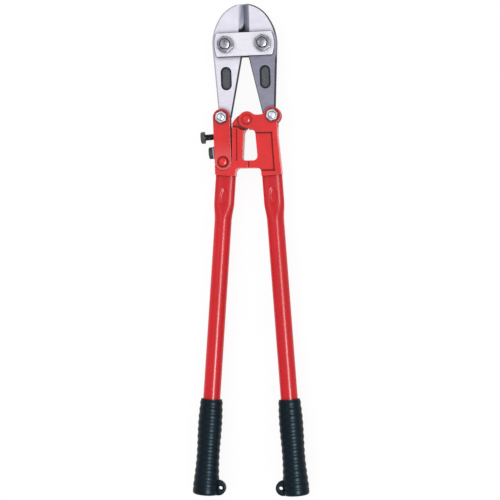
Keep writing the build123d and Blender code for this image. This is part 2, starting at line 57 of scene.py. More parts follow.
bench_glow = 0.88           # share of the bench that is plain white to the eye
glow_strength = 1.03
room_light = 0.92


class Socket:
    """An output of a node, which adds, scales and compares as a number does."""

    def __init__(self, tree, output):
        self.tree, self.output = tree, output

    def __add__(self, other):
        return self.tree.math("ADD", self, other)

    def __sub__(self, other):
        return self.tree.math("SUBTRACT", self, other)

    def __rsub__(self, other):
        return self.tree.math("SUBTRACT", other, self)

    def __mul__(self, other):
        return self.tree.math("MULTIPLY", self, other)

    def __truediv__(self, other):
        return self.tree.math("DIVIDE", self, other)

    def __gt__(self, other):
        return self.tree.math("GREATER_THAN", self, other)

    __radd__, __rmul__ = __add__, __mul__


class Tree:
    """A node tree in the making."""

    def __init__(self, tree):
        self.tree = tree

    def node(self, kind, settings=(), sockets=(), output=0):
        """Adds a node, sets it, links or fills its sockets, and gives back an output."""
        made = self.tree.nodes.new(kind)
        for name, value in dict(settings).items():
            setattr(made, name, value)
        for key, value in dict(sockets).items():
            if isinstance(value, Socket):
                self.tree.links.new(value.output, made.inputs[key])
            elif made.inputs[key].type == "RGBA" and len(value) == 3:
                made.inputs[key].default_value = (*value, 1)
            else:
                made.inputs[key].default_value = value
        return Socket(self, made.outputs[output]) if made.outputs else None

    def math(self, operation, *values):
        """A Math node; the common ones have an operator in Socket."""
        return self.node("ShaderNodeMath", {"operation": operation}, enumerate(values))

    def axis(self, vector, index):
        """A vector's X, Y or Z."""
        return self.node("ShaderNodeSeparateXYZ", (), {0: vector}, index)


class Finish(Tree):
    """A material on Object coordinates, with the patterns that several finishes share."""

    def __init__(self, name):
        self.material = bpy.data.materials.new(name)
        self.material.use_nodes = True
        super().__init__(self.material.node_tree)
        self.tree.nodes.clear()
        self.place = self.node("ShaderNodeTexCoord", output="Object")

    def noise(self, scale, detail=3.0, stretch=(1, 1, 1)):
        """Soft noise from 0 to 1; scale is in lumps per metre, stretch multiplies it."""
        where = self.node("ShaderNodeMapping", (), {"Vector": self.place, "Scale": stretch})
        return self.node("ShaderNodeTexNoise", (), {
            "Vector": where, "Scale": scale, "Detail": detail})

    def between(self, value, low, high, start=0.0, end=1.0):
        """The value's place from low to high, as a number from start to end."""
        return self.node("ShaderNodeMapRange", (), {
            "Value": value, "From Min": low, "From Max": high, "To Min": start, "To Max": end})

    def blend(self, share, first, second):
        """Two colours mixed by a share."""
        return self.node("ShaderNodeMix", {"data_type": "RGBA"},
                         {0: share, 6: first, 7: second}, 2)

    def mark(self, name):
        """An attribute of the piece's faces or points, as a number."""
        return self.node("ShaderNodeAttribute", {"attribute_name": name}, output="Fac")

    def open_air(self, reach):
        """1 in the open, and less where something stands within that reach."""
        return self.node("ShaderNodeAmbientOcclusion", {"samples": 6}, {"Distance": reach}, 1)

    def relief(self, height, depth, strength=1.0):
        """A normal that shows the height as a relief of that depth."""
        return self.node("ShaderNodeBump", (), {
            "Height": height, "Distance": depth, "Strength": strength})

    def surface(self, **sockets):
        """The shader itself, whose sockets are named with _ for a space."""
        shader = self.node("ShaderNodeBsdfPrincipled", (), {
            name.replace("_", " "): value for name, value in sockets.items()})
        self.node("ShaderNodeOutputMaterial", (), {"Surface": shader})
        return self.material


def seen_itself(tree):
    """1 where the eye meets a surface straight, in gloss or through glass, else 0."""
    straight = tree.node("ShaderNodeLightPath", output="Is Camera Ray")
    paths = straight.output.node.outputs
    return (straight + Socket(tree, paths["Is Glossy Ray"])
            + Socket(tree, paths["Is Transmission Ray"]))


def new_object(name, data):
    """An object in the scene, at the origin."""
    made = bpy.data.objects.new(name, data)
    bpy.context.collection.objects.link(made)
    return made


bench_finish = Finish("bench_white")
matt_white = bench_finish.node("ShaderNodeBsdfDiffuse", (), {
    "Color": bench_finish.blend(bench_finish.noise(3.0), [bench_shade] * 3,
                                [0.99 * bench_shade] * 3)})
bench_finish.node("ShaderNodeOutputMaterial", (), {"Surface": bench_finish.node(
    "ShaderNodeMixShader", (), {
        0: seen_itself(bench_finish) * bench_glow,
        1: matt_white,
        2: bench_finish.node("ShaderNodeEmission", (), {"Strength": glow_strength}),
    })})
bench_mesh = bpy.data.meshes.new("bench")
half = bench_size / 2
bench_mesh.from_pydata([(-half, -half, 0), (half, -half, 0), (half, half, 0), (-half, half, 0)],
                       [], [(0, 1, 2, 3)])
bench_mesh.materials.append(bench_finish.material)
bench = new_object("bench", bench_mesh)

room = bpy.data.worlds.new("room")
room.use_nodes = True
bpy.context.scene.world = room
room.node_tree.nodes.clear()
walls = Tree(room.node_tree)
walls.node("ShaderNodeOutputWorld", (), {"Surface": walls.node("ShaderNodeBackground", (), {
    "Color": (1.0, 1.0, 1.0),
    "Strength": room_light + seen_itself(walls) * (1 - room_light)})})


def axes_matrix(x_axis, y_axis, z_axis, origin):
    """The matrix of a frame from its three axes and its origin."""
    matrix = Matrix((x_axis, y_axis, z_axis)).transposed().to_4x4()
    matrix.translation = origin
    return matrix


def softbox(name, place, aim, width, length, brightness, gloss_only=False):
    """A rectangular lamp at place that faces aim, its long side along the tool."""
    lamp = bpy.data.lights.new(name, "AREA")
    lamp.shape, lamp.size, lamp.size_y = "RECTANGLE", width, length
    lamp.energy = brightness * pi * width * length
    back = (Vector(place) - Vector(aim)).normalized()
    right = Vector((0, 1, 0)).cross(back).normalized()
    box = new_object(name, lamp)
    box.matrix_world = axes_matrix(right, back.cross(right), back, place)
    box.visible_diffuse = not gloss_only


softbox("broad_softbox", (-0.9, 0.5, 1.7), (0, 0, 0), 0.8, 1.2, 1.3)
softbox("lower_strip", (0.80, -0.60, 1.85), (0, -0.3, 0), 0.34, 0.9, 58, gloss_only=True)
softbox("upper_strip", (0.80, 0.25, 1.85), (0, 0.1, 0), 0.30, 0.8, 18, gloss_only=True)

eye_distance = 2.054
eye_turn = radians(6.0)     # the eye stands this far to the tool's right
eye_roll = radians(0.35)
eye_aim = Vector((0.6 * mm, -0.5 * mm, mid_z))
camera_data = bpy.data.cameras.new("camera")
camera_data.lens, camera_data.sensor_width = 118.8, 36
camera = new_object("camera", camera_data)
away = Vector((sin(eye_turn), 0, cos(eye_turn)))
across = Vector((cos(eye_turn), 0, -sin(eye_turn)))
rolled = Matrix.Rotation(-eye_roll, 3, away)
camera.matrix_world = axes_matrix(rolled @ across, rolled @ Vector((0, 1, 0)), away,
                                  eye_aim + away * eye_distance)
bpy.context.scene.camera = camera
bpy.context.scene.view_settings.view_transform = "Standard"


# ---------------------------------------------------------------- jaws
# Two forged jaw blades, hardened. Their sides and pockets keep the black scale of the
# forge; both faces, the cutting bevels and the outer chamfers are ground bright.
# Their colours also hold painted light: painted shade near the straps, round the pockets and in
# the throat, and painted reflections that make the right blade darker than the left.
blade_half = 5.7 * mm
pocket_floor = 3.9 * mm     # from the mid-plane
face_white = (0.50, 0.49, 0.55)
scale_black = (0.012, 0.012, 0.016)
scale_kind, floor_kind, bevel_kind, chamfer_kind, face_kind = 0.0, 0.3, 0.6, 0.7, 1.0


@contextmanager
def editing(mesh):
    """The mesh as a bmesh, which is written back at the end of the block."""
    shape = bmesh.new()
    shape.from_mesh(mesh)
    yield shape
    shape.to_mesh(mesh)
    shape.free()


def cad_copy(name, node, edge=0.25 * mm, steps=2):
    """A piece of its own from a CAD node: merged, with whole flats and eased edges."""
    mesh = bpy.data.meshes.new(name)
    with editing(mesh) as shape:
        shape.from_mesh(frame["nodes"][node].data)
        bmesh.ops.remove_doubles(shape, verts=shape.verts, dist=2e-6)
        bmesh.ops.dissolve_limit(shape, angle_limit=radians(0.5), verts=shape.verts,
                                 edges=shape.edges)
    mesh.shade_smooth()
    piece = new_object(name, mesh)
    if edge:
        eased = piece.modifiers.new("eased", "BEVEL")
        eased.width, eased.segments, eased.angle_limit = edge, steps, radians(30)
        eased.limit_method, eased.use_clamp_overlap = "ANGLE", True
        piece.modifiers.new("faces", "WEIGHTED_NORMAL").keep_sharp = True
    return piece


def fit(piece, material, body, node):
    """Dresses a piece, lets it ride on its body, and puts it in its CAD node's place."""
    piece.data.materials.clear()
    piece.data.materials.append(material)
    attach(piece, body)
    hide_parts(node)


def blade_finish(name, bevel, chamfer, tail_reflection, tail_span, throat, run_out):
    """Ground steel over black scale; the face turns to a darker colour along tail_span,
    a painted dark reflection.

    chamfer is three colours: below the strap, beside it and above it, whose differences
    are painted shade and reflection. Below a curve that starts at the height run_out and
    rises towards throat's second X, the bevel is painted black: painted shade and
    reflection in the throat."""
    made = Finish(name)
    kind = made.mark("ground")
    side, along = made.axis(made.place, 0), made.axis(made.place, 1)
    is_face, is_chamfer, is_bright, is_floor = kind > 0.8, kind > 0.65, kind > 0.45, kind > 0.2
    patches = made.noise(55, 4)
    lines = made.noise(260, 2, (1, 9, 1))
    scratches = made.noise(900, 2, (0.12, 3.0, 1))
    pits = made.noise(900, 5)

    # painted dark reflection: the face turns darker along tail_span
    down = made.between(along + patches * 0.012, *tail_span)
    face = made.blend(down, face_white, tail_reflection)
    face = made.blend(made.between(lines, 0.35, 0.7, 0.0, 0.15), face, (0.42, 0.41, 0.48))
    face = made.blend(made.between(patches, 0.5, 0.75, 0.0, 0.25), face,
                      made.blend(down, (0.70, 0.69, 0.75), [1.35 * part for part in tail_reflection]))
    # painted shade where the straps, nuts and the other blade stand near
    face = made.blend(made.between(made.open_air(0.006), 0.45, 0.95), (0.09, 0.09, 0.12), face)

    slope = made.blend(made.between(scratches, 0.3, 0.7, 0.0, 0.35), bevel,
                       [0.8 * part for part in bevel])
    # painted shade and reflection in the throat: the bevel turns black below a curve
    inward = made.between(side, *throat)
    above = along - run_out - inward * inward * inward * throat_rise
    slope = made.blend(made.between(above, 0.0, 0.003), (0.02, 0.03, 0.04), slope)
    # painted shade and reflection: the chamfers change colour below, beside and above the strap
    border = made.blend(made.between(along, *strap_foot), *chamfer[:2])
    border = made.blend(made.between(along, *strap_top), border, chamfer[2])

    scale = made.blend(made.between(pits, 0.4, 0.7), scale_black, (0.03, 0.03, 0.038))
    floor = made.blend(made.between(pits, 0.35, 0.7), (0.035, 0.04, 0.048),
                       (0.15, 0.16, 0.18))
    # painted shade round the pockets' walls
    floor = made.blend(made.between(made.open_air(0.003), 0.84, 0.985), (0.003, 0.003, 0.005),
                       floor)
    colour = made.blend(is_floor, scale, floor)
    colour = made.blend(is_bright, colour, made.blend(is_chamfer, slope, border))
    colour = made.blend(is_face, colour, face)
    return made.surface(
        Base_Color=colour,
        Metallic=is_face * 0.6 + is_bright * 0.3 + 0.04,
        Roughness=0.62 - is_bright * 0.27 + made.between(scratches, 0.3, 0.7, -0.05, 0.07),
        Normal=made.relief(is_bright * scratches * 0.12 + (1 - is_bright) * pits, 0.00018,
                           0.55),
        Specular_IOR_Level=0.15,
    )


throat_rise = 9.5 * mm
strap_foot = (237 * mm, 243 * mm)       # where the chamfers' colours turn
strap_top = (262 * mm, 272 * mm)
# The two blades are one steel: their different bevel, chamfer and face colours are painted
# reflection and shade.
blade_finishes = {
    "left": blade_finish(
        "left_blade_steel", bevel=(0.78, 0.80, 0.93),
        chamfer=((0.44, 0.44, 0.52), (0.44, 0.44, 0.52), (0.40, 0.40, 0.46)),
        tail_reflection=(0.46, 0.43, 0.49), tail_span=(215 * mm, 165 * mm),
        throat=(-11.7 * mm, -4.4 * mm), run_out=273.2 * mm),
    "right": blade_finish(
        "right_blade_steel", bevel=(0.25, 0.25, 0.31),
        chamfer=((0.05, 0.05, 0.065), (0.30, 0.29, 0.37), (0.06, 0.06, 0.075)),
        tail_reflection=(0.15, 0.15, 0.20), tail_span=(262 * mm, 243 * mm),
        throat=(-3.0 * mm, -4.4 * mm), run_out=270.5 * mm),
}
head_centre = sum(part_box("front_strap"), Vector()) / 2
lean = -tan(radians(1.7))   # of the line on which the edges meet
bevel_half = 7.6 * mm       # the bevels lie this near to that line
bevel_start = 5 * mm        # and at least this far above the strap's centre
edge_band = 0.3 * mm        # the cutting edges lie this near to it
edge_closing = 0.85         # share of that distance by which they are brought nearer
rim_width = 0.35 * mm       # eased edge round each face
least_area = 20e-6          # m2; smaller faces belong to the rims
ring_width = 0.7 * mm       # ring inside it, left black in places


def off_line(spot):
    """How far to the right of the line between the cutting edges a point lies."""
    return spot.x - head_centre.x - lean * (spot.y - head_centre.y)


def near_bevel(spot):
    """True on the two cutting bevels."""
    return abs(off_line(spot)) < bevel_half and spot.y > head_centre.y + bevel_start


def on_edge(edge):
    """The middle of an edge."""
    return (edge.verts[0].co + edge.verts[1].co) / 2


def close_edges(shape):
    """Brings the two cutting edges nearer to each other."""
    for vert in shape.verts:
        off = off_line(vert.co)
        if abs(off) < edge_band and vert.co.y > head_centre.y:
            vert.co.x -= edge_closing * off
    bmesh.ops.dissolve_degenerate(shape, dist=0.15 * mm, edges=shape.edges)


def mark_slopes(shape, ground):
    """Marks the bevels and the outer chamfers, the faces that are neither flat nor upright."""
    for face in shape.faces:
        if 0.3 < abs(face.normal.z) < 0.95:
            face[ground] = bevel_kind if near_bevel(face.calc_center_median()) else chamfer_kind


def ease_rims(shape, ground):
    """Rounds the sharp edges, but not those between a slope and a flat face."""
    rims = []
    for edge in shape.edges:
        sharp = len(edge.link_faces) == 2 and edge.calc_face_angle() > radians(30)
        slopes = [face[ground] > 0 for face in edge.link_faces]
        flat = any(abs(face.normal.z) > 0.95 for face in edge.link_faces)
        if (sharp and not all(slopes) and not (any(slopes) and flat)
                and not near_bevel(on_edge(edge))):
            rims.append(edge)
    for face in bmesh.ops.bevel(shape, geom=rims, offset=rim_width, segments=2, profile=0.5,
                                affect="EDGES", clamp_overlap=True)["faces"]:
        face[ground] = scale_kind


def flats_and_floors(shape):
    """The blade's flat faces, and its pockets' floors."""
    flats, floors = [], []
    for face in shape.faces:
        height = abs(face.calc_center_median().z - mid_z)
        if abs(face.normal.z) > 0.95 and face.calc_area() > least_area:
            if height > 0.95 * blade_half:
                flats.append(face)
            elif height > 0.95 * pocket_floor:
                floors.append(face)
    return flats, floors


def around_floor(face):
    """The corners of a box round a pocket, rim and ring with it."""
    spots = [vert.co for vert in face.verts]
    return [Vector((pick(co.x for co in spots), pick(co.y for co in spots), 0))
            + Vector((way, way, 0)) * 2 * ring_width for pick, way in ((min, -1), (max, 1))]


def keeps_scale(face, edge, side, pockets):
    """True where the ring inside a face's edge is still black: on the tails' inside."""
    spot = face.calc_center_median()
    outward = (on_edge(edge) - spot).normalized()
    inward = outward.x if side == "left" else -outward.x
    in_pocket = any(low.x < spot.x < high.x and low.y < spot.y < high.y
                    for low, high in pockets)
    return inward > 0.3 and spot.y < head_centre.y and not in_pocket


for side, finish in blade_finishes.items():
    blade = cad_copy(f"{side}_jaw_blade", f"{side}_blade", edge=0)
    with editing(blade.data) as shape:
        ground = shape.faces.layers.float.new("ground")
        close_edges(shape)
        mark_slopes(shape, ground)
        ease_rims(shape, ground)
        flats, floors = flats_and_floors(shape)
        pockets = [around_floor(face) for face in floors]
        bmesh.ops.inset_region(shape, faces=floors, thickness=ring_width)
        rings = bmesh.ops.inset_region(shape, faces=flats, thickness=ring_width)["faces"]
        for faces, kind in ((flats, face_kind), (floors, floor_kind), (rings, face_kind)):
            for face in faces:
                face.smooth, face[ground] = False, kind
        for face in rings:
            for edge in face.edges:
                on_rim = not any(other in rings or other in flats
                                 for other in edge.link_faces if other != face)
                if on_rim and keeps_scale(face, edge, side, pockets):
                    face[ground] = scale_kind
    blade.modifiers.new("faces", "WEIGHTED_NORMAL").keep_sharp = True
    fit(blade, finish, f"{side}_jaw", f"{side}_blade")


# ---------------------------------------------------------------- straps
# Two flat steel straps hold the jaws between them at the pivots. They are cut from ground
# bar. Their edges are painted dark, and they are painted darker where other parts stand
# near: painted shade.
strap_finish = Finish("strap_steel")
patches = strap_finish.noise(38, 4)
grain = strap_finish.noise(420, 2, (0.25, 3, 1))
shade = strap_finish.blend(strap_finish.between(patches, 0.4, 0.7, 0, 0.5),
                           (0.60, 0.59, 0.65), (0.655, 0.635, 0.675))
shade = strap_finish.blend(strap_finish.between(grain, 0.35, 0.7, 0, 0.12), shade,
                           (0.46, 0.45, 0.50))
# painted shade: all faces but the outer flats are painted dark
shade = strap_finish.blend(strap_finish.mark("flat"), (0.035, 0.037, 0.042), shade)
# painted shade where the jaws, nuts and the other strap stand near
near = strap_finish.between(strap_finish.open_air(0.006), 0.42, 0.78)
shade = strap_finish.blend(near, (0.03, 0.032, 0.035), shade)
strap_material = strap_finish.surface(
    Base_Color=shade, Metallic=0.9,
    Roughness=strap_finish.between(grain, 0.3, 0.7, 0.27, 0.36),
    Normal=strap_finish.relief(grain, 0.00002, 0.5),
)
for node in ("front_strap", "rear_strap"):
    strap = cad_copy(f"{node}_plate", node, edge=0.5 * mm, steps=3)
    with editing(strap.data) as shape:
        flat = shape.faces.layers.float.new("flat")
        for face in shape.faces:
            outer = face.calc_center_median().z - mid_z
            face[flat] = float(abs(face.normal.z) > 0.9 and outer * face.normal.z > 0)
    fit(strap, strap_material, "head", node)


# ---------------------------------------------------------------- pivot bolts and nuts
# Zinc-plated hex bolts and nuts, M12 where the jaws turn and M8 where they meet the
# handles. Each is turned from a profile, and the hexagon and the thread are cut in it.
link_low, link_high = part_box("front_link_plate")
plate_out = (link_high.z - mid_z) / mm      # outer face of the plates, from the mid-plane


def settled(piece):
    """The plain mesh that a piece's modifiers make."""
    bpy.context.view_layer.update()
    return bpy.data.meshes.new_from_object(
        piece.evaluated_get(bpy.context.evaluated_depsgraph_get()))


class Lathe(Tree):
    """Geometry Nodes that take a profile mesh, with named inputs for their sizes."""

    def __init__(self, name, *sizes):
        super().__init__(bpy.data.node_groups.new(name, "GeometryNodeTree"))
        face = self.tree.interface
        face.new_socket("Profile", in_out="INPUT", socket_type="NodeSocketGeometry")
        self.keys = {size: face.new_socket(size, in_out="INPUT", socket_type=kind).identifier
                     for size, kind in sizes}
        face.new_socket("Result", in_out="OUTPUT", socket_type="NodeSocketGeometry")
        self.entry = self.tree.nodes.new("NodeGroupInput")

    def size(self, name):
        """A named input."""
        return Socket(self, self.entry.outputs[name])

    def make(self, name, profile, marks, **sizes):
        """The plain mesh that the tree makes of a profile of (radius, height) points."""
        line = bpy.data.meshes.new(name)
        line.from_pydata([(radius, 0, height) for radius, height in profile], [], [])
        mark = line.attributes.new("thread", "FLOAT", "POINT")
        mark.data.foreach_set("value", marks)
        carrier = new_object(name, line)
        maker = carrier.modifiers.new("maker", "NODES")
        maker.node_group = self.tree
        for size, value in sizes.items():
            maker[self.keys[size]] = value
        mesh = settled(carrier)
        bpy.data.objects.remove(carrier)
        return mesh


turned = Lathe("turned_piece", ("Columns", "NodeSocketInt"), ("Half flats", "NodeSocketFloat"),
               ("Pitch", "NodeSocketFloat"), ("Depth", "NodeSocketFloat"),
               ("Material", "NodeSocketMaterial"))
profile = turned.size("Profile")
rows = turned.node("GeometryNodeAttributeDomainSize", {"component": "MESH"}, {0: profile})
columns = turned.size("Columns")
grid = turned.node("GeometryNodeMeshGrid", (), {
    "Size X": 1.0, "Size Y": 1.0, "Vertices X": columns + 1, "Vertices Y": rows})
spot = turned.node("GeometryNodeInputPosition")
column = (turned.axis(spot, 0) + 0.5) * columns
row = turned.math("ROUND", (turned.axis(spot, 1) + 0.5) * (rows - 1))


def of_profile(data_type, value):
    """A value of the profile's point that this row stands for."""
    return turned.node("GeometryNodeSampleIndex", {"data_type": data_type, "domain": "POINT"},
                       {"Geometry": profile, "Value": value, "Index": row})


point = of_profile("FLOAT_VECTOR", turned.node("GeometryNodeInputPosition"))
marked = of_profile("FLOAT", turned.node(
    "GeometryNodeInputNamedAttribute", {"data_type": "FLOAT"}, {"Name": "thread"}))
height = turned.axis(point, 2)
angle = column / columns * (2 * pi)
in_face = turned.math("FLOORED_MODULO", angle, pi / 3) - pi / 6
hexagon = turned.size("Half flats") / turned.math("COSINE", in_face)
radius = turned.math("MINIMUM", turned.axis(point, 0), hexagon)
turns = height / turned.size("Pitch") - column / columns
groove = turned.math("PINGPONG", turns, 0.5) * 2
radius = radius - groove * marked * turned.size("Depth")
placed = turned.node("ShaderNodeCombineXYZ", (), {
    0: radius * turned.math("COSINE", angle),
    1: radius * turned.math("SINE", angle), 2: height})
shaped = turned.node("GeometryNodeSetPosition", (), {"Geometry": grid, "Position": placed})
closed = turned.node("GeometryNodeMergeByDistance", (), {
    "Geometry": shaped, "Distance": 0.00001})
closed = turned.node("GeometryNodeRealizeInstances", (), {"Geometry": closed})
turned.node("NodeGroupOutput", (), {"Result": turned.node("GeometryNodeSetMaterial", (), {
    "Geometry": closed, "Material": turned.size("Material")})})


def along_profile(corners, step):
    """A profile with a point at every step between its corners."""
    points = [corners[0]]
    for (x0, y0), (x1, y1) in zip(corners, corners[1:]):
        count = max(1, round(hypot(x1 - x0, y1 - y0) / step))
        points += [(x0 + (x1 - x0) * i / count, y0 + (y1 - y0) * i / count)
                   for i in range(1, count + 1)]
    return points


def turn_piece(name, material, corners, place, step, half_flats=50.0, thread=None,
               columns=96, crease=28):
    """A turned piece from corners in mm, set in place by a matrix.

    half_flats is the hexagon's, and one that is wider than the piece leaves it round.
    thread is (pitch, depth, radius, from, to): rows on that radius get a thread."""
    profile = along_profile(corners, step)
    pitch, depth, outer, low, high = thread or (1.0, 0.0, 0.0, 0.0, 0.0)
    marks = [float(thread is not None and abs(x - outer) < 1e-4 and low <= y <= high)
             for x, y in profile]
    mesh = turned.make(name, [(x * mm, y * mm) for x, y in profile], marks, **{
        "Columns": columns, "Half flats": half_flats * mm, "Pitch": pitch * mm,
        "Depth": depth * mm, "Material": material})
    mesh.transform(place)
    with editing(mesh) as shape:
        bmesh.ops.dissolve_degenerate(shape, dist=1e-6, edges=shape.edges)
        bmesh.ops.recalc_face_normals(shape, faces=shape.faces)
    mesh.shade_smooth()
    mesh.set_sharp_from_angle(angle=radians(crease))
    return new_object(name, mesh)


def chamfered(half_flats, low, high):
    """The outer corners of a hexagon that is chamfered at 30 degrees at both ends."""
    face, corner = 0.95 * half_flats, 1.135 * half_flats
    rise = (corner - face) * tan(radians(30))
    return [(face, low), (corner, low + rise), (corner, high - rise), (face, high)]


def nut_corners(bore, half_flats, low, high, sink):
    """A nut's closed profile, countersunk at both ends."""
    ends = [(bore + sink, high), (bore, high - sink), (bore, low + sink), (bore + sink, low)]
    return [ends[-1], *chamfered(half_flats, low, high), *ends]


def bolt_corners(half_flats, head, shank, length, chamfer):
    """A bolt's profile: its head is under 0, and its domed shank ends at length."""
    outer = chamfered(half_flats, -head, 0)[:2]
    dome = [(shank * cos(radians(turn)), length - chamfer * (1 - sin(radians(turn))))
            for turn in range(15, 90, 15)]
    return [(0, -head), *outer, (outer[-1][0], 0), (shank, 0),
            (shank, length - chamfer), *dome, (0, length)]


def metal(name, colour, dull, roughness, metallic=1.0):
    """Plated or blackened steel: two shades in patches, painted shade where other parts stand
    near, and a fine tooth.
    """
    made = Finish(name)
    patches, tooth = made.noise(160, 4), made.noise(500, 4)
    shade = made.blend(made.between(patches, 0.35, 0.68), colour, dull)
    # painted shade round heads, nuts and bolt ends
    shade = made.blend(made.between(made.open_air(0.008), 0.42, 0.92),
                       [0.2 * part for part in dull], shade)
    return made.surface(
        Base_Color=shade, Metallic=metallic,
        Roughness=made.between(tooth, 0.3, 0.7, roughness - 0.07, roughness + 0.09),
        Normal=made.relief(tooth, 0.00003, 0.6),
    )


pivot_metal = metal("pivot_zinc", (0.26, 0.26, 0.30), (0.12, 0.12, 0.145), 0.33)
toggle_metal = metal("toggle_zinc", (0.64, 0.66, 0.73), (0.36, 0.37, 0.43), 0.22)
fasteners = {   # metal, slot, radius, flats, head, nut, end past the nut, pitch
    "jaw_pivot": (pivot_metal, "pivot_hardware", 6.0, 18.0, 5.95, 10.0, 1.6, 1.75),
    "toggle": (toggle_metal, "toggle_hardware", 4.0, 13.0, 5.3, 6.2, 0.9, 1.25),
}
countersink, dome_height = 0.15, 0.17       # as shares of the radius
thread_depth = 0.5                          # as a share of the pitch
thread_start = 0.4                          # above the plate
joint_place = {joint["name"]: Vector(joint["pos_m"]) for joint in frame["joints"]
               if "pos_m" in joint}


def corner_turn(node, centre):
    """The angle of a corner of a CAD hexagon whose axis is along Z through centre."""
    far = max((v.co for v in frame["nodes"][node].data.vertices),
              key=lambda co: hypot(co.x - centre.x, co.y - centre.y))
    return atan2(far.y - centre.y, far.x - centre.x)


for side in ("left", "right"):
    for joint, sizes in fasteners.items():
        metal_used, slot, radius, flats, head, nut, proud, pitch = sizes
        name = f"{side}_{joint.removeprefix('jaw_')}"
        body = ("head" if joint == "jaw_pivot" else
                "adjuster_link" if side == "left" else "right_handle")
        length = 2 * plate_out + nut + proud
        bolt = [(x, y - plate_out) for x, y in bolt_corners(
            flats / 2, head, radius, length, dome_height * radius)]
        thread = (pitch, thread_depth * pitch, radius, plate_out + thread_start, length)
        cuts = {
            "bolt": (bolt, thread),
            "nut": (nut_corners(radius, flats / 2, plate_out, plate_out + nut,
                                countersink * radius), None),
        }
        for part, (corners, cut) in cuts.items():
            centre = joint_place[f"{side}_{joint}"]
            place = Matrix.Translation(centre) @ Matrix.Rotation(
                corner_turn(f"{name}_{part}", centre), 4, "Z")
            piece = turn_piece(f"{name}_{part}_turned", metal_used, corners, place, 0.22,
                               flats / 2, cut)
            fit(piece, metal_used, body, f"{name}_{part}")


# ---------------------------------------------------------------- castings and link
# Two iron castings carry the handles, and two pressed plates make the adjuster's link. All
# are enamelled red, with painted shade in the corners, a painted highlight on the edges and
# a painted sheen low on the plates, and with the two domed rivets that hold the castings
# and the link together.
def enamel(name, colour, painted_shade, roughness, grain_depth, painted_sheen=None):
    """Red enamel: colour in the open, painted shade in the hollows and corners and a painted
    highlight on proud edges, over a cast surface.

    The last argument is a paler colour for a painted sheen, and the heights between which
    the paint turns to it."""
    made = Finish(name)
    cast, broad = made.noise(430, 5), made.noise(60, 3)
    hollow = made.open_air(0.004)
    shade = made.blend(made.between(broad, 0.3, 0.7), colour, [0.86 * part for part in colour])
    # painted sheen: the paint turns paler towards the lower end
    if painted_sheen:
        along = made.axis(made.place, 1)
        shade = made.blend(made.between(along + broad * 0.012, *painted_sheen[1:]), shade, painted_sheen[0])
    # painted shade where other surfaces stand near
    shade = made.blend(made.between(hollow, 0.76, 0.985), painted_shade, shade)
    corner, edge = made.mark("corner"), made.mark("edge")
    # painted highlight along proud edges
    shade = made.blend(made.between(edge, 0.02, 0.08, 0.0, 0.3), shade, (0.90, 0.14, 0.14))
    # painted shade along hollow corners, which are also made matt
    shade = made.blend(made.between(corner, 0.002, 0.018), shade, painted_shade)
    matt = made.between(corner, 0.0005, 0.006)
    return made.surface(
        Base_Color=shade,
        Roughness=made.between(cast, 0.3, 0.7, roughness - 0.05, roughness + 0.1)
        + matt * 0.4,
        Normal=made.relief(cast + broad * 1.5, grain_depth, 0.5),
        Coat_Weight=0.33 - matt * 0.33, Coat_Roughness=0.15, Specular_IOR_Level=0.2,
    )


casting_enamel = enamel("casting_enamel", (0.79, 0.010, 0.012), (0.22, 0.001, 0.001), 0.34,
                        0.22 * mm)
# The plates' paint turns paler low down: a painted sheen.
plate_enamel = enamel(
    "plate_enamel", (0.76, 0.008, 0.010), (0.20, 0.001, 0.001), 0.36, 0.1 * mm,
    painted_sheen=((0.74, 0.085, 0.095), (link_low.y + link_high.y) / 2 + 6 * mm,
          link_low.y + 6 * mm))
bend_slack = 0.03           # bends under this are taken as flat
bend_spread = 6             # rounds by which the dark of a corner spreads
hole_reach = 3.2 * mm       # a trunnion's hole and a little more


def mark_bends(mesh, rounds):
    """Marks how near each point is to a hollow corner and to a proud edge."""
    pairs = [tuple(edge.vertices) for edge in mesh.edges]
    bends, links = [0.0] * len(mesh.vertices), [0] * len(mesh.vertices)
    for a, b in pairs:
        first, second = mesh.vertices[a], mesh.vertices[b]
        step = (second.co - first.co).normalized()
        bends[a] += first.normal.dot(step)
        bends[b] -= second.normal.dot(step)
        links[a] += 1
        links[b] += 1
    for name, sign, spreads in (("corner", 1, rounds), ("edge", -1, 1)):
        level = [max(sign * bend / max(link, 1) - bend_slack, 0.0)
                 for bend, link in zip(bends, links)]
        for _ in range(spreads):
            total = level[:]
            for a, b in pairs:
                total[a] += level[b]
                total[b] += level[a]
            level = [value / (link + 1) for value, link in zip(total, links)]
        mesh.attributes.new(name, "FLOAT", "POINT").data.foreach_set("value", level)


def cast_copy(name, node, voxel, rounds, covered=None):
    """A casting's own shape, remeshed and smoothed so every edge is round.

    The hole at covered is closed, for the paint runs over the end that fills it."""
    piece = cad_copy(name, node, edge=0)
    if covered is not None:
        with editing(piece.data) as shape:
            wall = [face for face in shape.faces
                    if all((v.co - covered).xy.length < hole_reach for v in face.verts)]
            bmesh.ops.delete(shape, geom=wall, context="FACES")
            bmesh.ops.holes_fill(shape, edges=[edge for edge in shape.edges
                                               if edge.is_boundary])
    grain = piece.modifiers.new("grain", "REMESH")
    grain.mode, grain.voxel_size, grain.use_smooth_shade = "VOXEL", voxel, True
    soft = piece.modifiers.new("soft", "SMOOTH")
    soft.factor, soft.iterations = 0.5, rounds
    mesh = settled(piece)
    piece.modifiers.clear()
    piece.data = mesh
    mesh.name = name
    mesh.shade_smooth()
    mark_bends(mesh, bend_spread)
    return piece


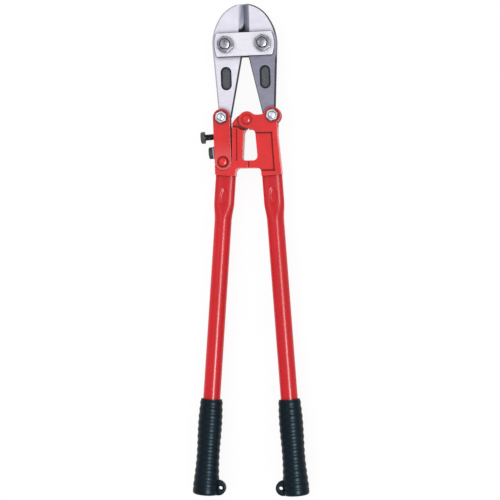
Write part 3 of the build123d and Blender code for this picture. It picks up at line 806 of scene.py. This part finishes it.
for side in ("left", "right"):
    casting = cast_copy(f"{side}_casting", f"{side}_head_casting", 0.5 * mm, 4)
    fit(casting, casting_enamel, f"{side}_handle", f"{side}_head_casting")
ends = [v.co for v in frame["nodes"]["adjuster_block"].data.vertices
        if v.co.z > link_high.z - 1e-5]
trunnion = sum(ends, Vector()) / len(ends)
for node in ("front_link_plate", "rear_link_plate"):
    plate = cast_copy(f"{node}_pressed", node, 0.4 * mm, 5, trunnion)
    fit(plate, plate_enamel, "adjuster_link", node)

rivet_radius, rivet_head_radius = 3.5, 5.6
rivet_seat = plate_out + 0.05
rivet_edge, rivet_dome = 0.3, 2.4
dome = [(rivet_head_radius * sin(radians(turn)),
         rivet_seat + rivet_edge + rivet_dome * cos(radians(turn))) for turn in range(0, 91, 15)]
upper_half = [*dome, (rivet_head_radius, rivet_seat), (rivet_radius, rivet_seat)]
corners = [*upper_half, *[(x, -y) for x, y in upper_half[::-1]]]
for node, body in (("handle_pivot_rivet", "right_handle"), ("link_rivet", "left_handle")):
    place = Matrix.Translation(sum(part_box(node), Vector()) / 2)
    piece = turn_piece(f"{node}_turned", casting_enamel, corners, place, 0.8)
    fit(piece, casting_enamel, body, node)


# ---------------------------------------------------------------- adjuster and lock
# A black block on two trunnions between the link plates takes the adjusting screw, which
# pushes on the casting's flange. The lock bolt and its washer clamp the link.
end_drop, end_layer = 0.3 * mm, 0.4 * mm
paint_level = 8.5 * mm      # from the mid-plane; the trunnions are red beyond it
block = cad_copy("adjuster_block_milled", "adjuster_block", edge=0.3 * mm)
rear_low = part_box("rear_link_plate")[0]
for vert in block.data.vertices:    # the trunnions' ends sit under the plates' paint
    if vert.co.z > link_high.z - end_layer:
        vert.co.z -= end_drop
    elif vert.co.z < rear_low.z + end_layer:
        vert.co.z += end_drop
block_finish = Finish("block_black")
tooth = block_finish.noise(500, 4)
height = block_finish.axis(block_finish.place, 2)
painted = block_finish.math("ABSOLUTE", height - mid_z) > paint_level
block_material = block_finish.surface(
    Base_Color=block_finish.blend(painted, (0.03, 0.032, 0.038), (0.55, 0.006, 0.010)),
    Metallic=0.85 - painted * 0.85, Roughness=block_finish.between(tooth, 0.3, 0.7, 0.36, 0.5),
    Normal=block_finish.relief(tooth, 0.00003, 0.6),
)
fit(block, block_material, "adjuster_link", "adjuster_block")

black_metal = metal("black_oxide", (0.030, 0.032, 0.038), (0.075, 0.08, 0.09), 0.42,
                    metallic=0.85)
lock_metal = metal("dark_zinc", (0.06, 0.062, 0.072), (0.03, 0.032, 0.036), 0.38)
screw_radius, screw_half_flats, screw_head, screw_dome = 4.0, 6.5, 5.3, 0.6
screw_pitch, screw_thread_depth, screw_thread_start = 1.25, 0.62, 6.4
screw_axis = next(Vector(joint["axis"]).normalized() for joint in frame["joints"]
                  if joint["name"] == "adjusting_screw_travel")


def along_screw(node):
    """A matrix whose Z runs along a CAD screw from its head's end, and its length."""
    spots = [vert.co for vert in frame["nodes"][node].data.vertices]
    reach = [spot.dot(screw_axis) for spot in spots]
    first = [spot for spot, along in zip(spots, reach) if along < min(reach) + 1e-5]
    start = sum(first, Vector()) / len(first)
    up = Vector((0, 0, 1))
    matrix = axes_matrix(up.cross(screw_axis), up, screw_axis, (start.x, start.y, mid_z))
    return matrix, (max(reach) - min(reach)) / mm


for node, material, body, slot in (
    ("adjusting_screw", black_metal, "adjuster_screw", "black_steel"),
    ("lock_bolt", lock_metal, "lock", "lock_hardware"),
):
    place, length = along_screw(node)
    corners = [(x, y + screw_head) for x, y in bolt_corners(
        screw_half_flats, screw_head, screw_radius, length - screw_head, screw_dome)]
    piece = turn_piece(f"{node}_turned", material, corners, place, 0.2, screw_half_flats, (
        screw_pitch, screw_thread_depth, screw_radius, screw_thread_start, length))
    fit(piece, material, body, node)
washer = cad_copy("lock_washer_stamped", "lock_washer", edge=0.3 * mm)
fit(washer, toggle_metal, "lock", "lock_washer")


# ---------------------------------------------------------------- tube handles
# Each handle is a steel pipe, flattened over its casting's tang, dimpled there to hold it,
# and enamelled in a glossier red.
tube_radius, tube_wall, tube_length = 10.65, 1.9, 392.5
flat_width, flat_thickness = 25.1, 15.0
flat_length, neck_length = 37.0, 17.0
flat_ease, neck_ease = 4.0, 2.0     # the neck's curve starts and ends this much outside it
dent_place, dent_half, dent_depth = 26.0, (4.65, 11.0), 1.5
dent_rim, dent_fade = 1.12, 0.42    # shares of the dent's half sizes over which it falls
dent_clear = 2.0                    # from the mid-plane, so only the flats are dented
tube_start, tube_tilt = 28.9, radians(4.04)
around = 96                         # points round a section

tube_finish = Finish("tube_enamel")
orange, clouds = tube_finish.noise(650, 3), tube_finish.noise(25, 3)
shade = tube_finish.blend(tube_finish.between(clouds, 0.3, 0.7), (0.64, 0.009, 0.017),
                          (0.57, 0.007, 0.013))
# painted shade where the surface is closed in, as in the dents
hollow = tube_finish.open_air(0.003)
shade = tube_finish.blend(tube_finish.between(hollow, 0.3, 0.9), (0.18, 0.0, 0.001), shade)
tube_material = tube_finish.surface(
    Base_Color=shade, Roughness=tube_finish.between(clouds, 0.3, 0.7, 0.24, 0.30),
    Specular_IOR_Level=0.24,
    Normal=tube_finish.relief(orange, 0.00002, 0.5),
)


def tube_frame(side):
    """A handle's matrix: X across, Y down along the tube, from its upper end, in mm."""
    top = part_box(("left" if side < 0 else "right") + "_tube")[1].y
    across = Vector((cos(tube_tilt), side * sin(tube_tilt), 0))
    down = Vector((side * sin(tube_tilt), -cos(tube_tilt), 0))
    start = Vector((side * tube_start * mm,
                    top - 0.5 * flat_width * mm * sin(tube_tilt), mid_z))
    return axes_matrix(across, down, across.cross(down), start) @ Matrix.Diagonal(
        (mm, mm, mm, 1))


def section_point(angle, width, thickness, inset):
    """A point of a tube's section, which is round where both sizes match, else flattened."""
    power = 2 / (2 + 1.5 * (width / thickness - 1))
    x, z = cos(angle), sin(angle)
    return (copysign((width / 2 - inset) * abs(x) ** power, x),
            copysign((thickness / 2 - inset) * abs(z) ** power, z))


def ease(share):
    """0 to 1 with a level start and end."""
    share = min(max(share, 0.0), 1.0)
    return share * share * (3 - 2 * share)


def tube_ring(along, inset):
    """One ring of a tube's wall, with the dents of the crimp pressed in."""
    share = ease((along - flat_length + flat_ease) / (neck_length + flat_ease + neck_ease))
    width = flat_width + share * (2 * tube_radius - flat_width)
    thickness = flat_thickness + share * (2 * tube_radius - flat_thickness)
    ring = []
    for step in range(around):
        x, z = section_point(2 * pi * step / around, width, thickness, inset)
        if abs(z) > dent_clear:
            off = hypot(x / dent_half[0], (along - dent_place) / dent_half[1])
            z -= copysign(dent_depth * ease((dent_rim - off) / dent_fade), z)
        ring.append((x, along, z))
    return ring


fine_rows = [0.5 * row for row in range(120)]           # as far as the neck
coarse_rows = [60 + 4.75 * row for row in range(71)]
for side, name in ((-1, "left"), (1, "right")):
    mesh = bpy.data.meshes.new(f"{name}_pipe")
    with editing(mesh) as shape:
        outer, inner = ([[shape.verts.new(point) for point in tube_ring(along, inset)]
                         for along in (*fine_rows, *coarse_rows, tube_length)]
                        for inset in (0.0, tube_wall))
        loops = [*outer, *inner[::-1], outer[0]]
        for ring, following in zip(loops, loops[1:]):
            for step in range(around):
                after = (step + 1) % around
                shape.faces.new((ring[step], ring[after], following[after], following[step]))
        bmesh.ops.recalc_face_normals(shape, faces=shape.faces)
    mesh.transform(tube_frame(side))
    mesh.shade_smooth()
    mesh.set_sharp_from_angle(angle=radians(50))
    pipe = new_object(f"{name}_pipe", mesh)
    fit(pipe, tube_material, f"{name}_handle", f"{name}_tube")


# ---------------------------------------------------------------- grips
# Black rubber sleeves, moulded with soft ribs, pulled over the tubes. Each is closed at its
# end and has an ear there to hang the tool by.
grip_place, grip_length = 279.0, 119.5
mouth_rim, mouth_radius = 12.0, 13.0
swell_rise, swell_wave, swell_waves = 2.5, 0.8, 1.2
collar_length, collar_ease, end_radius = 9.0, 2.0, 16.3
end_start, end_round = 4.0, 3.4             # the closed end's rounding
end_slope, dish_radius, dish_depth = 0.4, 8.0, 0.08
socket_radius, floor_thickness = 10.7, 6.0
row_step = 0.55
rib_count, rib_height, rib_share = 13, 0.75, 0.4
ridge_height, ridge_share = 0.3, 0.11
ear_reach, ear_rise, ear_radius, ear_half = 15.6, 10.0, 9.6, 4.0
ear_root, ear_rim = 6.0, 1.1
hole_place, hole_radius = 18.7, 2.35

rubber = Finish("grip_rubber")
skin, dust = rubber.noise(1100, 3), rubber.noise(70, 4)
valley = rubber.between(rubber.open_air(0.004), 0.93, 0.72)
grip_material = rubber.surface(
    Base_Color=rubber.blend(rubber.between(dust, 0.4, 0.75), (0.0, 0.002, 0.006),
                            (0.0, 0.004, 0.010)),
    Roughness=rubber.between(skin, 0.3, 0.7, 0.34, 0.40) + valley * 0.35,
    Specular_IOR_Level=0.17,
    Specular_Tint=(0.6, 0.85, 1.0, 1.0),
    Normal=rubber.relief(skin, 0.00003, 0.5),
)


def sleeve_radius(along):
    """The grip's radius at a distance from its mouth: a swell, ribs and low ridges."""
    share = along / grip_length
    ribbed = grip_length - collar_length
    swell = mouth_radius + swell_rise * share + swell_wave * sin(
        2 * pi * swell_waves * share)
    if along >= ribbed:
        return swell + (end_radius - swell) * ease((along - ribbed) / collar_ease)
    turn = along / (ribbed / rib_count) % 1.0
    off = min(turn, 1 - turn)       # from the middle of the valley between two ribs
    rib = rib_height * max(0.0, 1 - abs((0.5 - off) / rib_share) ** 2.2)
    ridge = ridge_height * (0.5 + 0.5 * cos(pi * min(off / ridge_share, 1.0)))
    return swell + rib + ridge


def sleeve_corners():
    """The sleeve's profile, from the socket's floor round the mouth to the closed end."""
    rows = int((grip_length - end_start) / row_step)
    side = [(sleeve_radius(row_step * row), row_step * row) for row in range(rows)]
    flat_radius = end_radius - end_round
    end = [(flat_radius + end_round * cos(radians(turn)),
            grip_length - end_slope - end_round * (1 - sin(radians(turn))))
           for turn in range(0, 90, 10)]
    floor = grip_length - floor_thickness
    return [(0, floor), (socket_radius, floor), (socket_radius, 0), (mouth_rim, 0),
            *side, *end, (flat_radius, grip_length - end_slope),
            (dish_radius, grip_length - dish_depth), (0, grip_length)]


def hanging_ear(name, side):
    """An ear with a round hole, on the inner side of a grip's end."""
    turns = [radians(-90 + 180 * step / 47) for step in range(48)]
    outline = [(ear_reach + ear_radius * cos(turn), ear_radius * sin(turn)) for turn in turns]
    outline += [(ear_root, ear_radius), (ear_root, -ear_radius)]
    turns = [2 * pi * step / 32 for step in range(32)]
    hole = [(hole_place + hole_radius * cos(turn), hole_radius * sin(turn)) for turn in turns]
    mesh = bpy.data.meshes.new(name)
    with editing(mesh) as shape:
        edges = []
        for loop in (outline, hole):
            ring = [shape.verts.new((-side * x, grip_place + grip_length - ear_rise - y,
                                     -ear_half)) for x, y in loop]
            edges += [shape.edges.new(pair) for pair in zip(ring, ring[1:] + ring[:1])]
        bmesh.ops.triangle_fill(shape, use_beauty=True, edges=edges)
        thick = bmesh.ops.extrude_face_region(shape, geom=shape.faces[:], use_keep_orig=True)
        bmesh.ops.translate(shape, vec=(0, 0, 2 * ear_half), verts=[
            part for part in thick["geom"] if isinstance(part, bmesh.types.BMVert)])
        bmesh.ops.recalc_face_normals(shape, faces=shape.faces)
    mesh.transform(tube_frame(side))
    ear = new_object(name, mesh)
    rim = ear.modifiers.new("rim", "BEVEL")
    rim.width, rim.segments, rim.limit_method, rim.angle_limit = (
        ear_rim * mm, 3, "ANGLE", 0.9)
    return ear


for side, name in ((-1, "left"), (1, "right")):
    place = tube_frame(side) @ Matrix.Translation((0, grip_place, 0)) @ Matrix.Rotation(
        -pi / 2, 4, "X") @ Matrix.Diagonal((1 / mm, 1 / mm, 1 / mm, 1))
    sleeve = turn_piece(f"{name}_sleeve", grip_material, sleeve_corners(), place, 2.0,
                        columns=112, crease=50)
    ear = hanging_ear(f"{name}_ear", side)
    joined = sleeve.modifiers.new("ear", "BOOLEAN")
    joined.operation, joined.solver, joined.object = "UNION", "MANIFOLD", ear
    mesh = settled(sleeve)
    sleeve.modifiers.clear()
    sleeve.data = mesh
    mesh.shade_smooth()
    mesh.set_sharp_from_angle(angle=radians(50))
    bpy.data.objects.remove(ear)
    fit(sleeve, grip_material, f"{name}_handle", f"{name}_grip")
